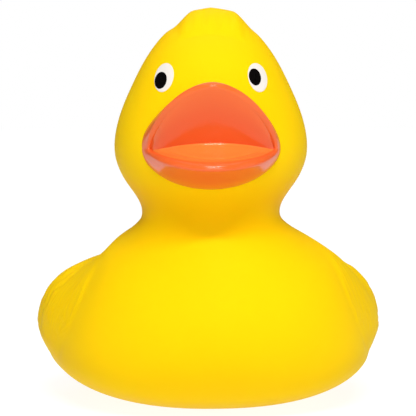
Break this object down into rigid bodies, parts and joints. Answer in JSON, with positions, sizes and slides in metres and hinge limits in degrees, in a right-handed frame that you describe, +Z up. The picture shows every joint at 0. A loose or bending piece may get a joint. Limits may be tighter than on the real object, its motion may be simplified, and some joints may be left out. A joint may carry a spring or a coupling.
{
  "type": "rubber duck",
  "caption": "Hollow vinyl bath duck with a wide open beak, folded wings, upturned tail and a lobed tuft; a squeaker is pressed into its flat base.",
  "frame": {"origin": "middle of the duck's footprint box, on the plane of its flat base", "axes": "the duck looks along -Y, its left side is +X, +Z is up"},
  "size_m": [0.0736, 0.0887, 0.0834],
  "materials": {
    "yellow_vinyl": "satin soft vinyl",
    "orange_lacquer": "glossy paint on the beak, part of the vinyl moulding",
    "eye_white": "paint on the eye fields",
    "eye_black": "paint on the pupils",
    "natural_plastic": "moulded",
    "reed_plastic": "punched film"
  },
  "bodies": {
    "root": {"duck_body": "yellow_vinyl", "squeaker_housing": "natural_plastic", "squeaker_reed": "reed_plastic"}
  },
  "joints": []
}
